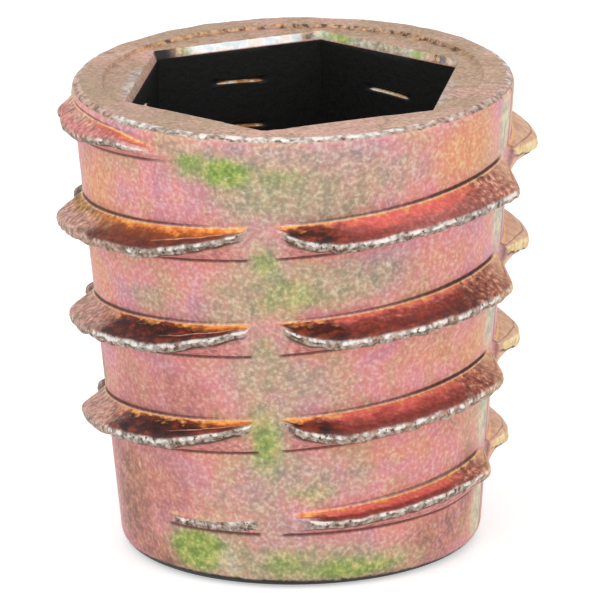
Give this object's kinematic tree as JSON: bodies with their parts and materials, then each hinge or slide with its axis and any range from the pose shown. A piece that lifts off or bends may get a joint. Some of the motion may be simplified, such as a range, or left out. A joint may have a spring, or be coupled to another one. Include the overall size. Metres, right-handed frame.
{
  "type": "threaded insert",
  "caption": "Tapered hex-drive threaded insert for wood, with a coarse outer thread broken at parting lines and a bore for a metric screw.",
  "frame": {"origin": "centre of the narrow end's face, on the axis", "axes": "+Z along the axis towards the wide end with the drive socket; -Y through the front parting line and one corner of the hexagon, +X through the next parting line and the middle of a flat"},
  "size_m": [0.0126, 0.0122, 0.0128],
  "materials": {
    "zinc": "die-cast zinc alloy with an iridescent yellow chromate coating, pink and olive, worn to bare metal on the crests"
  },
  "bodies": {
    "root": {"insert": "zinc"}
  },
  "joints": []
}
